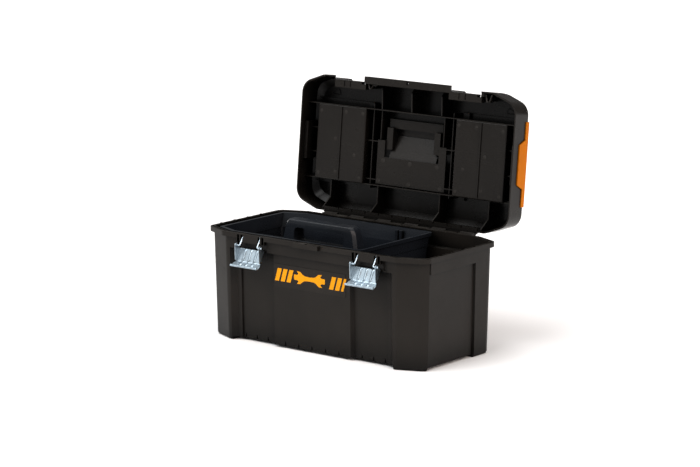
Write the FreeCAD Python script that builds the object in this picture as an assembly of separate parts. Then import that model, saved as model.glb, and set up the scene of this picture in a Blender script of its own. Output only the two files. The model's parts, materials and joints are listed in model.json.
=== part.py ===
"""Nineteen-inch toolbox with a lift-out tote tray, shown with its lid open.

World frame: X along the length, Y towards the back, Z up, origin on the floor under the
middle of the open box. Everything is drawn about the middle of the tub and moved forward
on export. The lid is drawn closed and then swung open about the hinge rod.
"""
import FreeCAD, Part
import math
import os
from FreeCAD import Vector

os.makedirs("parts", exist_ok=True)

# ---------------------------------------------------------------- tub, outside
RIM_HALF_X = 241.0
RIM_HALF_Y = 119.0
RIM_TOP = 194.3
FLANGE_HEIGHT = 8.3
NECK_HALF_X = 236.5
NECK_HALF_Y = 114.0
FOOT_HALF_X = 233.7
FOOT_HALF_Y = 110.0
CORNER_X = 50.0
CORNER_Y = 21.0
POST_R = 18.0
FOOT_SOFT = ((0.0, 3.4), (1.2, 1.1), (4.0, 0.0))
LABEL_X = (-83.0, 75.0)
LABEL_Z = (109.0, 149.0)
LABEL_THICK = 0.48
UNDERSIDE = 5.0
WALL = 2.4
FLOOR = 2.8

SCALLOP_R = 5.0
SCALLOP_DEPTH = 4.5
SCALLOP_Y = (-55.0, -23.5, 8.0, 39.5)
RIM_GROOVE = (-0.8, 1.2)
RIM_GROOVE_DEPTH = 2.0
TAB_HALF = 2.2
TAB_HEIGHT = 0.9
SIDE_TAB_Y = (-66.0, -30.0, 6.0, 42.0)

# recesses between the corner posts
APRON_BOTTOM = 166.0
LEDGE_TOP = 168.4
POST_X = 178.0
BAY_Y = 98.0
STRIP_Y = 101.0
PANEL_HALF_X = 84.0
PANEL_Y = 105.0
PANEL_SLOPE = 4.0
BAY_DRAFT = 3.0
SIDE_BAY_FRONT = -84.0
SIDE_BAY_BACK = 44.0
SIDE_BAY_DEPTH = 4.0
SIDE_BAND_BACK = 66.0
SIDE_BAND_PROUD = 1.2

# ---------------------------------------------------------------- hinge
HINGE_Y = 130.3
HINGE_Z = 188.4
HINGE_PIN_R = 2.0
KNUCKLE_R = 4.8
KNUCKLE_PITCH = 30.4
KNUCKLES = 11
KNUCKLE_GAP = 1.0
CURTAIN_R = 6.2
OPEN_ANGLE = 95.66
OPEN_MIDDLE_Y = 35.5

# ---------------------------------------------------------------- latches
LATCH_X = 127.0
LATCH_HALF = 31.0
BRIDGE_BOTTOM = 179.0
POCKET_Y = 109.0
SLOT_TOP = 192.6
INNER_SLOT = (17.0, 22.0)
OUTER_SLOT = (25.0, 30.0)
OUTER_SLOT_BOTTOM = 176.5
BAIL_PIVOT = (-113.5, 190.0)
LEVER_PIVOT = (-124.0, 174.5)
WIRE_R = 1.5
PIN_CLEARANCE = 0.06
LEG_X = 19.5
BAIL_END_X = 31.0
LEVER_HALF = 27.3
HOOK_HALF = 30.0
SHEET = 1.2
PLATE_TOP = (-113.0, 168.0)
PLATE_BOTTOM = (-124.0, 146.0)
HOOK_END = (-136.6, 140.0)
HOOK_ROLL = (-137.0, 141.0)
HOOK_ROLL_R = 2.2
LEVER_RIB_R = 1.3
LEVER_RIBS = (-13.0, 0.0, 13.0)

# ---------------------------------------------------------------- lid
LID_Z = 194.6
LID_HALF_X = 236.6
LID_HALF_Y = 122.6
LID_CORNER_X = 49.0
LID_CORNER_Y = 18.0
LID_CORNER_R = 26.0
SHOULDER_H = 40.0
LID_H = 50.0
CROWN_H = 55.4
SHOULDER_INSET = 1.6
TOP_INSET = 11.0

# padlock eye, through a lug on the tub and the lip on the lid
PADLOCK_Y = -121.6
PADLOCK_R = 3.0
LIP_H = 8.0

# recess across the lid's front, flaring out towards the top
FRONT_FACE = -116.0
RECESS_HALF = 160.0
RECESS_FLARE = 48.0
RIDGE_H = 10.4
GROOVE_Y = (-114.8, -106.4)
STRIKE_NOTCH = (25.5, 33.5)
STRIKE_NOTCH_Y = -111.6
STRIKE_LINES = (-13.0, 0.5)

# organiser wells in the lid
WELL_X = (100.0, 209.0)
WELL_Y = (-68.4, 67.6)
WELL_BOTTOM = 16.0
WELL_SPLIT = 154.8
SPLIT_HALF = 1.8
WELL_SOFT = 2.6
BEAD_HALF = 1.3
BEAD_RISE = 1.6
SKIN = 2.0

# ribs under the lid top
RIB_WALL = 1.8
RIB_TOP = 48.5
LONG_RIBS = ((-68.6, 17.0), (67.2, 20.0))
SHORT_RIB_Y = (-11.4, 57.4)
END_RIB_Y = (-69.5, -23.5, 20.5, 65.5)
FRONT_GUSSET_X = (-66.0, 0.0, 66.0)
BACK_GUSSET_X = (-176.0, -69.0, 69.0, 176.0)

# organiser covers
COVER_Y = (-75.4, 72.6)
COVER_OUT = 237.2
COVER_EDGE = 224.5
COVER_EDGE_H = 41.5
COVER_THICK = 3.0
COVER_HINGE = (105.0, 46.0)
BARREL_R = 4.0
COVER_PIN_R = 1.8
SKIRT_BOTTOM = 33.0
FLAP_BOTTOM = 16.0
FLAP_TOP_HALF = 43.5
FLAP_END_HALF = 34.5
GAP = 0.6

# carry handle and the plate that holds it in the lid
HANDLE_PIVOT = (-16.4, 38.0)
HANDLE_ARM_X = (48.5, 56.5)
HANDLE_END_R = 6.0
GRIP_Y = (-51.0, -39.4)
GRIP_H = (38.6, 51.4)
GRIP_NEAR_R = 22.4
GRIP_FAR_R = 38.0
TROUGH_Y = (-53.4, -36.9)
TROUGH_BOTTOM = 36.0
TROUGH_HALF = 59.0
RETAINER_HALF = 76.0
RETAINER_ARM = 60.0
RETAINER_H = 25.5
RETAINER_Y = (15.6, 64.6)
RETAINER_ARM_Y = -14.4

# ---------------------------------------------------------------- tray
TRAY_X = (-225.0, 104.0)
TRAY_HALF_Y = 104.0
TRAY_RIM = 193.4
TRAY_RIM_DROP = 6.0
TRAY_BOTTOM = 128.0
TRAY_SEAT = 168.7
TRAY_WALL = 2.2
TRAY_CORNER = (40.0, 16.0)
DIVIDER_SLOT = (32.0, 40.5)
SLOT_HALF = 56.0
SLOT_Z = (168.0, 194.0)
GRIP_MID_X = -60.0
GRIP_TOP = 207.0
GRIP_SECTIONS = (
    (92.0, 18.0, 129.0), (83.0, 14.5, 172.0), (79.0, 13.0, 192.0), (75.5, 12.5, 202.0), (70.0, 11.0, 207.0),
)


# ---------------------------------------------------------------- small helpers
def box(x, y, z):
    """A box from three (low, high) pairs."""
    size = [pair[1] - pair[0] for pair in (x, y, z)]
    return Part.makeBox(*size, Vector(x[0], y[0], z[0]))


def loop(points):
    return Part.makePolygon(points + points[:1])


def solid(points, direction):
    """Sweep a flat outline along a direction."""
    return Part.Face(loop(points)).extrude(direction)


def plan(points, low, high):
    """Outline in X and Y, swept up from low to high."""
    return solid([Vector(x, y, low) for x, y in points], Vector(0, 0, high - low))


def profile(points, low, high):
    """Outline in Y and Z, swept along X."""
    return solid([Vector(low, y, z) for y, z in points], Vector(high - low, 0, 0))


def elevation(points, low, high):
    """Outline in X and Z, swept along Y."""
    return solid([Vector(x, low, z) for x, z in points], Vector(0, high - low, 0))


def loft(sections, radius=0.0):
    """A ruled solid through (outline, height) sections, its upright corners rounded."""
    wires = []
    for points, z in sections:
        wire = loop([Vector(x, y, z) for x, y in points])
        if radius:
            wire = wire.makeOffset2D(-radius, 2).makeOffset2D(radius, 0)
        wires.append(wire)
    return Part.makeLoft(wires, True, True)


def octagon(half_x, half_y, cut_x, cut_y, mid=(0.0, 0.0)):
    """A rectangle with its four corners cut."""
    side_y = half_y - cut_y
    end_x = half_x - cut_x
    points = [
        (-end_x, -half_y), (end_x, -half_y), (half_x, -side_y), (half_x, side_y),
        (end_x, half_y), (-end_x, half_y), (-half_x, side_y), (-half_x, -side_y),
    ]
    return [(x + mid[0], y + mid[1]) for x, y in points]


def rod_x(radius, low, high, centre):
    """A cylinder along X, centred on a (y, z) point."""
    return Part.makeCylinder(radius, high - low, Vector(low, *centre), Vector(1, 0, 0))


def rod_y(radius, low, high, centre):
    """A cylinder along Y, centred on an (x, z) point."""
    start = Vector(centre[0], low, centre[1])
    return Part.makeCylinder(radius, high - low, start, Vector(0, 1, 0))


def mirrored(shape):
    return shape.mirror(Vector(0, 0, 0), Vector(1, 0, 0))


def both(shapes):
    """The shapes and their mirror images in X."""
    return shapes + [mirrored(shape) for shape in shapes]


def join(shapes):
    """Fuse one after another, which is steadier here than fusing all at once."""
    whole = shapes[0]
    for shape in shapes[1:]:
        whole = whole.fuse(shape)
    merged = whole.removeSplitter()
    return merged if merged.isValid() else whole


def cut(shape, tools):
    return shape.cut(Part.makeCompound(tools))


def rounded(shape, radius):
    """Round every edge that climbs from one level to another."""
    edges = []
    for edge in shape.Edges:
        rise = abs(edge.Vertexes[0].Z - edge.Vertexes[-1].Z)
        if rise > 1.0:
            edges.append(edge)
    return shape.makeFillet(radius, edges)


def export(name, shape):
    placed = shape.copy()
    placed.translate(Vector(0, -OPEN_MIDDLE_Y, 0))
    placed.exportStep("parts/%s.step" % name)


# ---------------------------------------------------------------- tub
def front_recess(bottom, top):
    """The space in front of the bays and the raised middle panel."""
    def outline(shift):
        half = [
            (PANEL_HALF_X, -PANEL_Y - shift),
            (PANEL_HALF_X + PANEL_SLOPE, -BAY_Y - shift),
            (POST_X - 18, -BAY_Y - shift),
            (POST_X - 17, -STRIP_Y - shift),
            (POST_X - 8, -STRIP_Y - shift),
            (POST_X, -FOOT_HALF_Y - shift),
            (POST_X, -RIM_HALF_Y - 10),
        ]
        return [(-x, y) for x, y in reversed(half)] + half
    return loft([(outline(0.0), bottom), (outline(BAY_DRAFT), top)])


def side_recess():
    out = NECK_HALF_X + 10
    floor = FOOT_HALF_X - SIDE_BAY_DEPTH
    lean = NECK_HALF_X - FOOT_HALF_X
    outline = [
        (SIDE_BAY_FRONT, floor), (SIDE_BAY_BACK, floor),
        (SIDE_BAY_BACK + SIDE_BAY_DEPTH, out), (SIDE_BAY_FRONT - SIDE_BAY_DEPTH, out),
    ]
    low = [(x, y) for y, x in outline]
    high = [(x + lean if x == floor else x, y) for x, y in low]
    return loft([(low, -1.0), (high, APRON_BOTTOM)])


def bottom_notches():
    """Slits along the lower edge of the front and back bays."""
    notches = []
    middle = [(29.5 * i, PANEL_Y) for i in range(-2, 3)]
    outer = [(side * (104 + 25 * i), BAY_Y) for side in (-1, 1) for i in range(3)]
    for x, depth in middle + outer:
        for side in (-1, 1):
            outline = [(x - 2.4, 0.0), (x + 2.4, 0.0), (x + 2.4, 6.0), (x - 1.4, 14.0)]
            low, high = sorted((side * (depth - 1.4), side * (depth + 4)))
            notches.append(elevation(outline, low, high))
    return notches


def tub_cavity():
    """The inside of the tub, with a ledge all round for the tray."""
    inner_x = FOOT_HALF_X - WALL
    inner_y = FOOT_HALF_Y - WALL
    floor = UNDERSIDE + FLOOR
    cavity = loft([
        (octagon(inner_x, inner_y, CORNER_X, CORNER_Y), floor),
        (octagon(NECK_HALF_X - WALL, NECK_HALF_Y - WALL, CORNER_X, CORNER_Y), RIM_TOP + 1),
    ], POST_R - WALL)
    shelf_y = BAY_Y - WALL
    fill = [
        (-POST_X - 6, -FOOT_HALF_Y - 9), (-POST_X + 4, -shelf_y - 2.4),
        (-POST_X + 13, -shelf_y), (POST_X - 13, -shelf_y),
        (POST_X - 4, -shelf_y - 2.4), (POST_X + 6, -FOOT_HALF_Y - 9),
    ]
    front = plan(fill, 0.0, LEDGE_TOP)
    back = front.mirror(Vector(0, 0, 0), Vector(0, 1, 0))
    wall_x = FOOT_HALF_X - SIDE_BAY_DEPTH - WALL
    end = box((wall_x, RIM_HALF_X), (SIDE_BAY_FRONT - 6, SIDE_BAY_BACK + 6), (0.0, LEDGE_TOP))
    return cut(cavity, [front, back] + both([end]))


def latch_seat(mid):
    """Thick bridge over the latch wire, and the two cuts that shape its pocket."""
    bridge = box(
        (mid - LATCH_HALF, mid + LATCH_HALF),
        (-RIM_HALF_Y, -NECK_HALF_Y + WALL),
        (BRIDGE_BOTTOM, RIM_TOP - FLANGE_HEIGHT + 1),
    )
    pocket = box(
        (mid - LATCH_HALF - 2, mid + LATCH_HALF + 2),
        (-RIM_HALF_Y - 9, -POCKET_Y),
        (APRON_BOTTOM - 1, BRIDGE_BOTTOM),
    )
    backing = box(
        (mid - LATCH_HALF - 4, mid + LATCH_HALF + 4),
        (-POCKET_Y, -POCKET_Y + WALL),
        (LEDGE_TOP - WALL, RIM_TOP - 2),
    )
    slots = []
    for side in (-1, 1):
        for near, far, bottom in ((*INNER_SLOT, BRIDGE_BOTTOM), (*OUTER_SLOT, OUTER_SLOT_BOTTOM)):
            x = sorted((mid + side * near, mid + side * far))
            slots.append(box(x, (-RIM_HALF_Y - 1, -POCKET_Y - 0.6), (bottom, SLOT_TOP)))
    bore = rod_x(WIRE_R + PIN_CLEARANCE, mid - LEG_X, mid + LEG_X, BAIL_PIVOT)
    return bridge, backing, [pocket, bore] + slots


def knuckle_span(index):
    start = (index - KNUCKLES / 2) * KNUCKLE_PITCH
    return start + KNUCKLE_GAP / 2, start + KNUCKLE_PITCH - KNUCKLE_GAP / 2


def tub_knuckles():
    shapes = []
    for index in range(1, KNUCKLES, 2):
        low, high = knuckle_span(index)
        shapes.append(rod_x(KNUCKLE_R, low, high, (HINGE_Y, HINGE_Z)))
        web_z = (HINGE_Z - KNUCKLE_R, HINGE_Z + KNUCKLE_R)
        shapes.append(box((low, high), (NECK_HALF_Y - 1, HINGE_Y), web_z))
    return shapes


def rim_details():
    """Side scallops and the groove that runs round the top of the rim."""
    cuts = []
    for y in SCALLOP_Y:
        for side in (-1, 1):
            centre = Vector(side * (NECK_HALF_X - WALL), y, RIM_TOP - SCALLOP_DEPTH)
            cuts.append(Part.makeCylinder(SCALLOP_R, 2 * SCALLOP_DEPTH, centre))
    inner, outer = [
        octagon(NECK_HALF_X + grow, NECK_HALF_Y + grow, CORNER_X, CORNER_Y) for grow in RIM_GROOVE
    ]
    groove = plan(outer, RIM_TOP - RIM_GROOVE_DEPTH, RIM_TOP + 2)
    island = plan(inner, RIM_TOP - RIM_GROOVE_DEPTH - 1, RIM_TOP + 3)
    return cuts + [groove.cut(island)]


def rim_tabs():
    """Small raised tabs along the outer edge of each end of the rim, clear of the shut lid."""
    x = (RIM_HALF_X - 2.6, RIM_HALF_X - 0.6)
    height = (RIM_TOP - 1, RIM_TOP + TAB_HEIGHT)
    return both([box(x, (y - TAB_HALF, y + TAB_HALF), height) for y in SIDE_TAB_Y])


def base_tub():
    sections = [
        (octagon(FOOT_HALF_X - inset, FOOT_HALF_Y - inset, CORNER_X, CORNER_Y), z)
        for z, inset in FOOT_SOFT
    ]
    sections.append((octagon(NECK_HALF_X, NECK_HALF_Y, CORNER_X, CORNER_Y), RIM_TOP - FLANGE_HEIGHT + 1))
    body = loft(sections, POST_R)
    recess = front_recess(-1.0, APRON_BOTTOM)
    body = cut(body, [
        recess, recess.mirror(Vector(0, 0, 0), Vector(0, 1, 0)),
        *both([side_recess()]),
        box((-POST_X, POST_X), (-RIM_HALF_Y, RIM_HALF_Y), (-1, UNDERSIDE)),
        box((-RIM_HALF_X, RIM_HALF_X), (SIDE_BAY_FRONT, SIDE_BAY_BACK), (-1, UNDERSIDE)),
    ])
    rim = octagon(RIM_HALF_X, RIM_HALF_Y, CORNER_X, CORNER_Y)
    flange = rounded(plan(rim, RIM_TOP - FLANGE_HEIGHT, RIM_TOP), POST_R)
    band = box(
        (NECK_HALF_X - 3, NECK_HALF_X + SIDE_BAND_PROUD),
        (SIDE_BAY_FRONT, SIDE_BAND_BACK), (APRON_BOTTOM, RIM_TOP - 2),
    )
    lug = box((-27, 27), (-RIM_HALF_Y - 6, -RIM_HALF_Y + 2), (RIM_TOP - FLANGE_HEIGHT, RIM_TOP))
    body = join([body, flange, lug] + both([band]) + rim_tabs())
    body = cut(body, [tub_cavity()])
    cuts = bottom_notches() + rim_details()
    solids = [body] + tub_knuckles()
    for mid in (-LATCH_X, LATCH_X):
        bridge, backing, seat_cuts = latch_seat(mid)
        solids += [bridge, backing]
        cuts += seat_cuts
    cuts.append(rod_x(HINGE_PIN_R + 0.03, -200, 200, (HINGE_Y, HINGE_Z)))
    pocket_y = (-RIM_HALF_Y, -NECK_HALF_Y + 1.6)
    cuts.append(box((161, 168), pocket_y, (APRON_BOTTOM + 2, RIM_TOP - FLANGE_HEIGHT)))
    cuts.append(Part.makeCylinder(PADLOCK_R, 30, Vector(0, PADLOCK_Y, RIM_TOP - 20)))
    return cut(join(solids), cuts)


def hinge_pin():
    half = KNUCKLES * KNUCKLE_PITCH / 2
    return rod_x(HINGE_PIN_R, -half, half, (HINGE_Y, HINGE_Z))


def front_label():
    """Thin film that follows the slight slope of the middle panel."""
    low, high = [(-PANEL_Y - BAY_DRAFT * z / APRON_BOTTOM, z) for z in LABEL_Z]
    gap = 0.02
    face = [(y - gap, z) for y, z in (low, high)]
    front = [(y - gap - LABEL_THICK, z) for y, z in (high, low)]
    return profile(face + front, *LABEL_X)


# ---------------------------------------------------------------- latches
def latch_bail(mid):
    """Wire bail: crossbar in the tub, two legs, ends turned outwards."""
    shapes = [rod_x(WIRE_R, mid - LEG_X, mid + LEG_X, BAIL_PIVOT)]
    for side in (-1, 1):
        x = mid + side * LEG_X
        top = Vector(x, *BAIL_PIVOT)
        foot = Vector(x, *LEVER_PIVOT)
        leg = foot - top
        shapes.append(Part.makeCylinder(WIRE_R, leg.Length, top, leg))
        shapes += [Part.makeSphere(WIRE_R, top), Part.makeSphere(WIRE_R, foot)]
        low, high = sorted((x, mid + side * BAIL_END_X))
        shapes.append(rod_x(WIRE_R, low, high, LEVER_PIVOT))
    return join(shapes)


def bent_strip(points, thickness):
    """Outline of a folded sheet: the front line given, thickened towards the tub."""
    path = [Vector(0, y, z) for y, z in points]
    runs = [(after - before).normalize() for before, after in zip(path, path[1:])]
    backs = [Vector(0, -run.z, run.y) for run in runs]
    back_line = []
    for point, before, after in zip(path, backs[:1] + backs, backs + backs[-1:]):
        mitre = (before + after) * (thickness / (1 + before.dot(after)))
        back_line.append((point.y + mitre.y, point.z + mitre.z))
    return points + back_line[::-1]


def lever_cheek(low, high):
    """Side cheek, from the plate out to the turned wire end."""
    outline = [
        PLATE_TOP, PLATE_BOTTOM, (-127.6, 149.0), (-128.4, 173.0),
        (-127.0, 177.4), (-124.0, 178.5), (-121.0, 177.4), (-117.0, 172.6),
    ]
    return profile(outline, low, high)


def lever_rib(x):
    """Pressed bead down the plate."""
    top = Vector(x, *PLATE_TOP)
    bottom = Vector(x, *PLATE_BOTTOM)
    bead = Part.makeCylinder(LEVER_RIB_R, (bottom - top).Length, top, bottom - top)
    return [bead, Part.makeSphere(LEVER_RIB_R, bottom)]


def latch_lever(mid):
    """Pressed lever: ribbed plate, two side cheeks and a rolled hook."""
    plate = bent_strip([PLATE_TOP, PLATE_BOTTOM, HOOK_END], SHEET)
    hook = bent_strip([PLATE_BOTTOM, HOOK_END], SHEET)
    shapes = [
        profile(plate, mid - LEVER_HALF, mid + LEVER_HALF),
        profile(hook, mid - HOOK_HALF, mid + HOOK_HALF),
        rod_x(HOOK_ROLL_R, mid - HOOK_HALF, mid + HOOK_HALF, HOOK_ROLL),
        lever_cheek(mid - LEVER_HALF, mid - LEVER_HALF + SHEET),
        lever_cheek(mid + LEVER_HALF - SHEET, mid + LEVER_HALF),
    ]
    for x in LEVER_RIBS:
        shapes += lever_rib(mid + x)
    holes = rod_x(WIRE_R + PIN_CLEARANCE, mid - HOOK_HALF, mid + HOOK_HALF, LEVER_PIVOT)
    return cut(join(shapes), [holes])


# ---------------------------------------------------------------- lid, drawn closed
def lid_body(inset, low, high_drop, radius):
    """The lid's outer form, shrunk by a wall thickness for its inside."""
    def section(grow, height):
        outline = octagon(
            LID_HALF_X - inset - grow, LID_HALF_Y - inset - grow, LID_CORNER_X, LID_CORNER_Y)
        return outline, height
    return loft([
        section(0.0, low),
        section(SHOULDER_INSET, SHOULDER_H),
        section(TOP_INSET, LID_H - high_drop),
    ], radius)


def well_tray():
    """The outside of one pair of wells: a lump with softened lower edges."""
    lump = box(WELL_X, WELL_Y, (WELL_BOTTOM, LID_H - 3))
    low = [edge for edge in lump.Edges if max(v.Z for v in edge.Vertexes) < WELL_BOTTOM + 1]
    return lump.makeFillet(WELL_SOFT, low)


def well_block():
    """One organiser well with its split, and the spaces cut out of it."""
    bead = box(
        (WELL_SPLIT - BEAD_HALF, WELL_SPLIT + BEAD_HALF),
        (WELL_Y[0] + WELL_SOFT, WELL_Y[1] - WELL_SOFT),
        (WELL_BOTTOM - BEAD_RISE, WELL_BOTTOM + 1),
    )
    housing_x = (COVER_HINGE[0] - BARREL_R - 2.4, COVER_HINGE[0] + BARREL_R + 2.4)
    housing = box(housing_x, (COVER_Y[0] - 3, COVER_Y[1] + 3), (39.0, LID_H - 2.4))
    spaces = []
    inner_y = (WELL_Y[0] + SKIN, WELL_Y[1] - SKIN)
    for x in ((WELL_X[0], WELL_SPLIT - SPLIT_HALF), (WELL_SPLIT + SPLIT_HALF, WELL_X[1])):
        spaces.append(box((x[0] + SKIN, x[1] - SKIN), inner_y, (WELL_BOTTOM + SKIN, LID_H + 9)))
    return [well_tray(), bead, housing], spaces


def cover_section(drop):
    """Closed outline, in X and height, of everything outside the cover's inner face."""
    return [
        (COVER_HINGE[0], LID_H - drop), (COVER_EDGE - drop / 2, LID_H - drop),
        (COVER_OUT - drop * 0.8, COVER_EDGE_H - drop / 2),
    ]


def cover_deck():
    """The lid's skin under a cover, stepped down by the cover's thickness."""
    upper = cover_section(COVER_THICK)
    lower = cover_section(COVER_THICK + WALL)
    outline = upper + [(upper[-1][0], SKIRT_BOTTOM - 3), (lower[-1][0], SKIRT_BOTTOM - 3)] + lower[::-1]
    return elevation(outline, COVER_Y[0] - 3, COVER_Y[1] + 3)


def cover_spaces():
    """What the lid gives up so that a cover can sit flush and swing."""
    y = (COVER_Y[0] - GAP, COVER_Y[1] + GAP)
    far = LID_HALF_X + 9
    low = SKIRT_BOTTOM - 0.5
    high = LID_H + 9
    seat = cover_section(COVER_THICK + 0.3)
    seat += [(seat[-1][0], low), (far, low), (far, high), (seat[0][0], high)]
    channel = (COVER_HINGE[0] - BARREL_R - GAP, COVER_HINGE[0] + BARREL_R + GAP)
    mid = sum(COVER_Y) / 2
    top_half = FLAP_TOP_HALF + 1
    end_half = FLAP_END_HALF + 1
    flap = profile([
        (mid - top_half, SKIRT_BOTTOM), (mid + top_half, SKIRT_BOTTOM),
        (mid + end_half, FLAP_BOTTOM - 1), (mid - end_half, FLAP_BOTTOM - 1),
    ], COVER_OUT - 2.6, LID_HALF_X + 9)
    pins = rod_y(COVER_PIN_R + PIN_CLEARANCE, COVER_Y[0] - 5, COVER_Y[1] + 5, COVER_HINGE)
    return [
        box(channel, y, (41.2, high)),
        elevation(seat, *y), flap, pins,
    ]


def handle_housing():
    """Lumps under the lid top for the grip trough, the arm channels and the finger scoop."""
    trough = box((-TROUGH_HALF, TROUGH_HALF), TROUGH_Y, (TROUGH_BOTTOM, LID_H - 1))
    outline = [(-38, 46), (-24, 46), (-24, 44), (20, 27.6), (26, 29), (26, 49), (-38, 49)]
    scoop = profile(outline, -52, 52)
    channel = box((46, TROUGH_HALF), (-38, 1.0), (29, LID_H - 1))
    crown = loft([
        (octagon(84, 66, 16, 16, (0, -1.4)), LID_H - 3),
        (octagon(76, 58, 14, 14, (0, -1.4)), CROWN_H),
    ])
    return [trough, scoop, crown] + both([channel])


def handle_spaces():
    inner = TROUGH_HALF - SKIN
    high = CROWN_H + 9
    trough = box((-inner, inner), (TROUGH_Y[0] + 1.8, TROUGH_Y[1] - 1.8), (TROUGH_BOTTOM + SKIN, high))
    outline = [(-36, 48.2), (-26, 48.2), (-22, 46.4), (20, 29.6), (24, 31), (24, high), (-36, high)]
    scoop = profile(outline, -46, 46)
    channel = box((47.6, inner + 0.6), (-38.8, -1.0), (31, high))
    pivot = rod_x(3.0 + PIN_CLEARANCE, HANDLE_ARM_X[1], TROUGH_HALF + 4, HANDLE_PIVOT)
    return [trough, scoop, grip_sweep(inner + 0.6)] + both([channel, pivot])


def grip_sweep(half):
    """The ring-shaped space that the grip passes through as it swings up."""
    near, far = [rod_x(radius, -half, half, HANDLE_PIVOT) for radius in (GRIP_NEAR_R, GRIP_FAR_R)]
    quarter = box((-half, half), (TROUGH_Y[0] + 1.8, HANDLE_PIVOT[0]), (HANDLE_PIVOT[1], CROWN_H + 9))
    return far.cut(near).common(quarter)


def rib_span(middle):
    return middle - RIB_WALL / 2, middle + RIB_WALL / 2


def lid_ribs():
    """Stiffening ribs under the lid top."""
    ribs = [box((-234, 234), rib_span(y), (low, RIB_TOP)) for y, low in LONG_RIBS]
    for y in SHORT_RIB_Y:
        ribs += both([box((RETAINER_HALF, WELL_X[0]), rib_span(y), (25.0, RIB_TOP))])
    for y in END_RIB_Y:
        ribs += both([box((WELL_X[1] - 1, 235), rib_span(y), (24.0, RIB_TOP))])
    ribs += both([
        box(rib_span(69.5), (-69, -15.6), (24.5, RIB_TOP)),
        box(rib_span(88.0), (-77, 74), (25.0, RIB_TOP)),
        box((226, 235), (-34, 34), (10, 36)),
    ])
    front = [(-68, 19), (-68, RIB_TOP), (-122, RIB_TOP), (-122, 30), (-104, 16)]
    for x in FRONT_GUSSET_X:
        ribs.append(profile(front, x - 1, x + 1))
    back = [(66, 24), (100, 24), (117, 4), (122, 4), (122, RIB_TOP), (66, RIB_TOP)]
    for x in BACK_GUSSET_X:
        ribs.append(profile(back, x - 1.2, x + 1.2))
    return ribs


def front_flare(grow, low, high, y):
    """The recess across the front, wider towards the top of the lid."""
    foot = RECESS_HALF + grow
    head = foot + RECESS_FLARE
    return elevation([(-foot, low), (foot, low), (head, high), (-head, high)], *y)


def latch_spaces(mid):
    """Behind one latch: strike ridge, hook groove, end notch and two moulded lines."""
    x = (mid - LATCH_HALF - 2, mid + LATCH_HALF + 2)
    notch_x = (mid + STRIKE_NOTCH[0], mid + STRIKE_NOTCH[1])
    spaces = [
        box(x, (-LID_HALF_Y - 9, FRONT_FACE + 1.4), (RIDGE_H + 1.4, LID_H + 9)),
        box(x, GROOVE_Y, (RIDGE_H, LID_H + 9)),
        box(notch_x, (-LID_HALF_Y - 9, STRIKE_NOTCH_Y), (-1, RIDGE_H + 2)),
    ]
    for offset in STRIKE_LINES:
        line_x = (mid + offset - 1.3, mid + offset + 1.3)
        spaces.append(box(line_x, (FRONT_FACE + 1.2, GROOVE_Y[1] + 2), (-1, 1.4)))
    return spaces


def lid_front_lumps():
    """Walls that keep the front recess closed from the inside."""
    lumps = [front_flare(2.4, 0.3, LID_H - 0.3, (-LID_HALF_Y + 1, FRONT_FACE + 2.4))]
    lumps.append(box((-9, 9), (-LID_HALF_Y, FRONT_FACE + 2.4), (0.4, 24)))
    for mid in (-LATCH_X, LATCH_X):
        x = (mid - LATCH_HALF - 4, mid + LATCH_HALF + 4)
        lumps.append(box(x, (-117.2, -102.4), (0.3, RIDGE_H)))
        lumps.append(box(x, (GROOVE_Y[1] - 0.6, -104.0), (0.3, LID_H - 0.3)))
        for side in (x[0], x[1] - 2):
            lumps.append(box((side, side + 2), (-LID_HALF_Y + 1, -104.0), (0.3, LID_H - 0.3)))
    return lumps


def lid_knuckles():
    """Hinge eyes under the back edge, each on a short curved web."""
    drop = HINGE_Z - LID_Z
    shapes = []
    for index in range(0, KNUCKLES, 2):
        low, high = knuckle_span(index)
        shapes.append(rod_x(KNUCKLE_R, low, high, (HINGE_Y, drop)))
        web = [
            (121.2, 0.4), (121.2, 7), (125.5, 7), (134.6, -4),
            (HINGE_Y, drop), (125.8, -4.4), (123.2, 0.4),
        ]
        shapes.append(profile(web, low, high))
    half = KNUCKLES * KNUCKLE_PITCH / 2
    shapes.append(profile(hinge_curtain(drop), -half, half))
    return shapes


def hinge_curtain(drop):
    """Curved strip that closes the slot behind the tub's knuckles."""
    outline = [(123.0, 0.5), (123.0, 3.6)]
    for radius, turns in ((CURTAIN_R + 1.2, range(90, -1, -15)), (CURTAIN_R, range(0, 91, 15))):
        for turn in turns:
            angle = math.radians(turn)
            outline.append((HINGE_Y + radius * math.cos(angle), drop + radius * math.sin(angle)))
    return outline


def lid_lip():
    """Lip along the front edge, with slanted ends, and the hole for a padlock."""
    lip = elevation([(-96, 0.4), (96, 0.4), (92, LIP_H), (-92, LIP_H)], -126.4, FRONT_FACE + 1)
    eye = Part.makeCylinder(PADLOCK_R, 20, Vector(0, PADLOCK_Y, -9))
    return cut(lip, [eye])


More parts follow.
